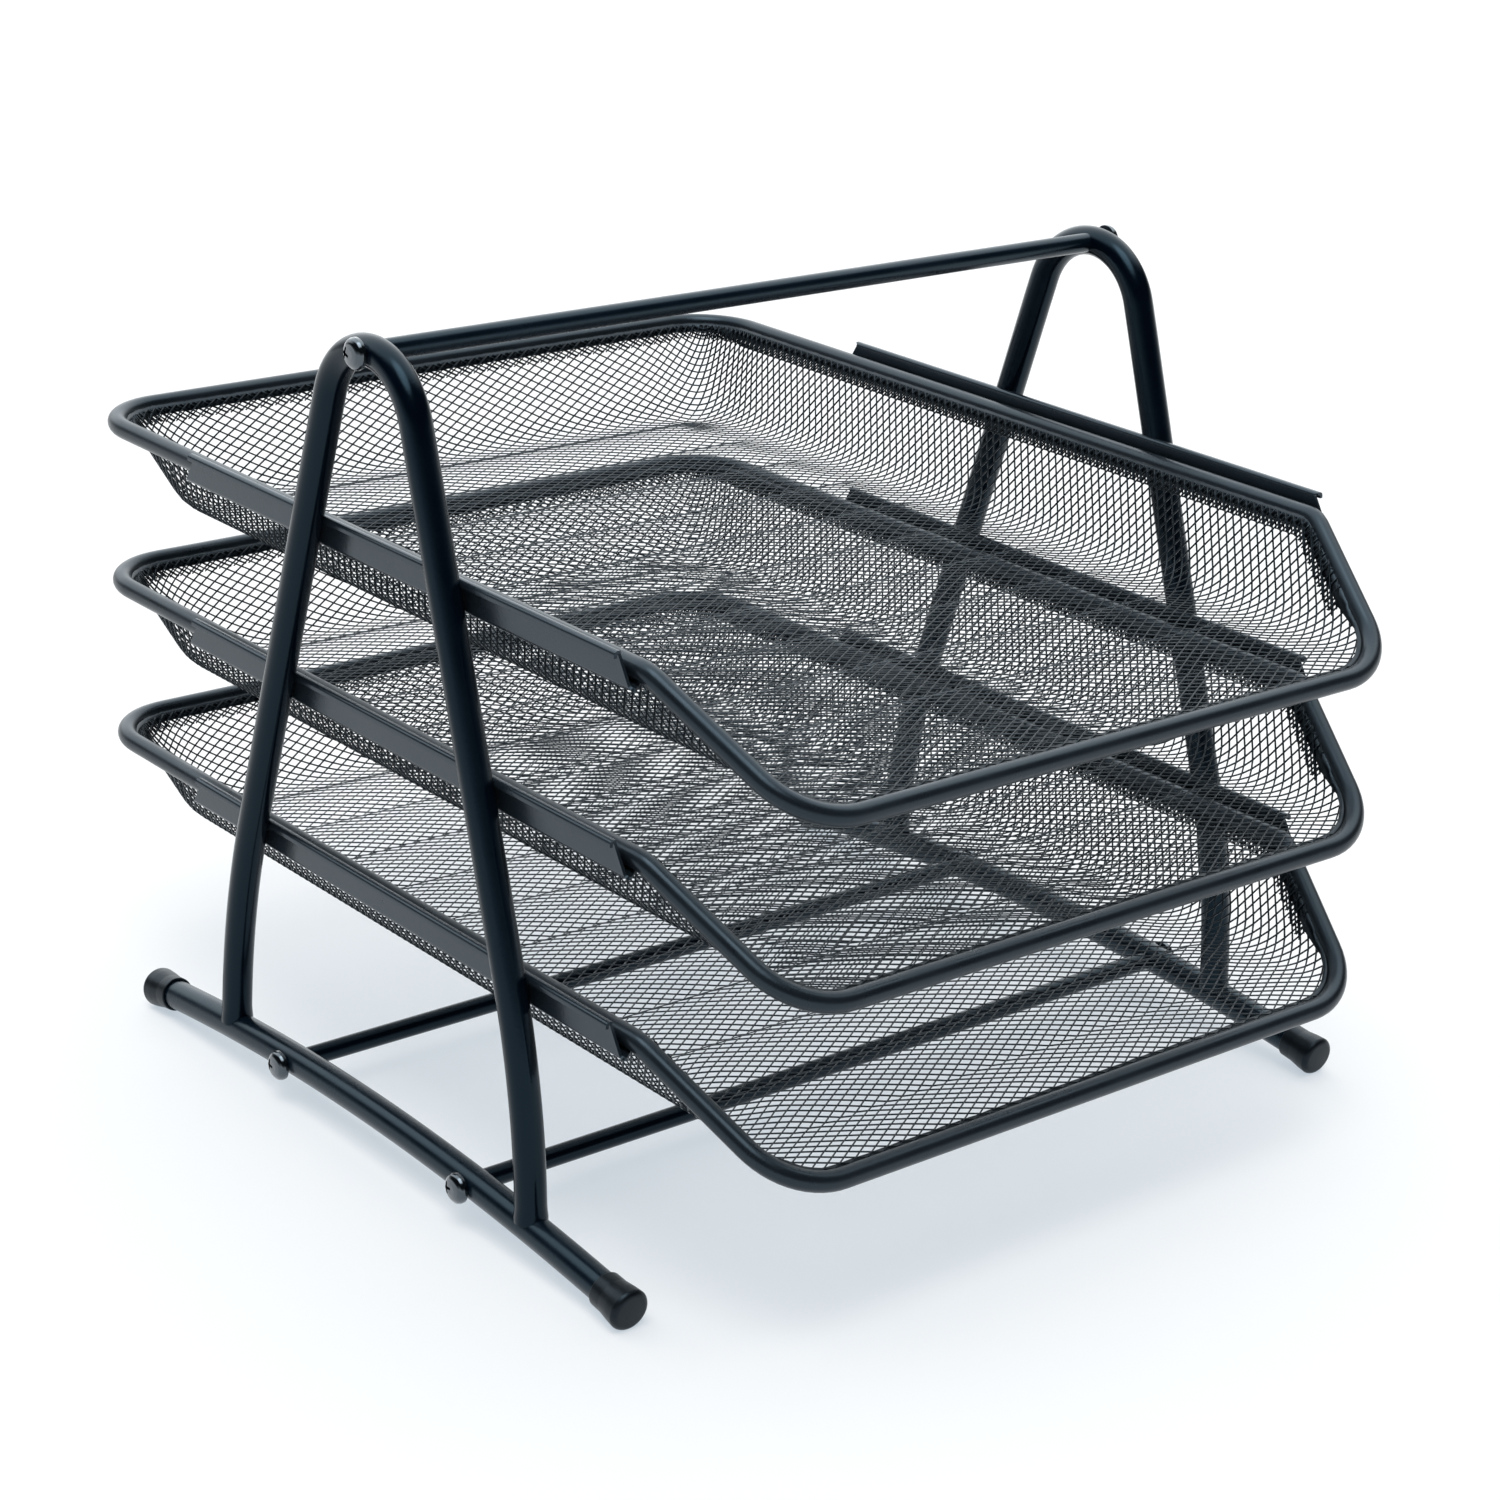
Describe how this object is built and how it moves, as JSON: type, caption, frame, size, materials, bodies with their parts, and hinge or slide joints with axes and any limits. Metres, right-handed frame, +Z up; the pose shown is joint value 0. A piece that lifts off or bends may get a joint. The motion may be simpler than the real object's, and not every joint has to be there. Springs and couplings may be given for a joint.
{
  "type": "desk letter tray",
  "caption": "Tiered desk letter tray: bent-tube stand with top handle, angle rails and sliding black mesh trays with sloped open fronts.",
  "frame": {"origin": "on the desk plane, centred in plan under the whole tray", "axes": "+Z up, front of the tray (sloped open end) towards -Y, +X to the right seen from the front"},
  "size_m": [0.295, 0.3526, 0.2544],
  "materials": {
    "black_painted_steel": "satin powder coat",
    "black_painted_mesh": "satin powder-coated expanded metal",
    "black_plastic": "moulded satin",
    "black_screw_steel": "glossy black oxide"
  },
  "bodies": {
    "stand": {"left_a_frame_tube": "black_painted_steel", "right_a_frame_tube": "black_painted_steel", "left_base_tube": "black_painted_steel", "right_base_tube": "black_painted_steel", "handle_bar": "black_painted_steel", "front_cross_bar": "black_painted_steel", "rear_cross_bar": "black_painted_steel", "end_cap_left_rear": "black_plastic", "end_cap_left_front": "black_plastic", "end_cap_right_rear": "black_plastic", "end_cap_right_front": "black_plastic", "handle_screw_left": "black_screw_steel", "handle_screw_right": "black_screw_steel", "base_screw_left_rear": "black_screw_steel", "base_screw_left_front": "black_screw_steel", "base_screw_right_rear": "black_screw_steel", "base_screw_right_front": "black_screw_steel", "bottom_rail_left": "black_painted_steel", "bottom_rail_right": "black_painted_steel", "middle_rail_left": "black_painted_steel", "middle_rail_right": "black_painted_steel", "top_rail_left": "black_painted_steel", "top_rail_right": "black_painted_steel"},
    "tray_bottom": {"bottom_tray_rim": "black_painted_steel", "bottom_tray_basket": "black_painted_mesh"},
    "tray_middle": {"middle_tray_rim": "black_painted_steel", "middle_tray_basket": "black_painted_mesh"},
    "tray_top": {"top_tray_rim": "black_painted_steel", "top_tray_basket": "black_painted_mesh"}
  },
  "joints": [
    {"name": "bottom_tray_slide", "type": "slide", "parent": "stand", "child": "tray_bottom", "axis": [0, -1, 0], "range_m": [0, 0.12]},
    {"name": "middle_tray_slide", "type": "slide", "parent": "stand", "child": "tray_middle", "axis": [0, -1, 0], "range_m": [0, 0.12]},
    {"name": "top_tray_slide", "type": "slide", "parent": "stand", "child": "tray_top", "axis": [0, -1, 0], "range_m": [0, 0.12]}
  ]
}
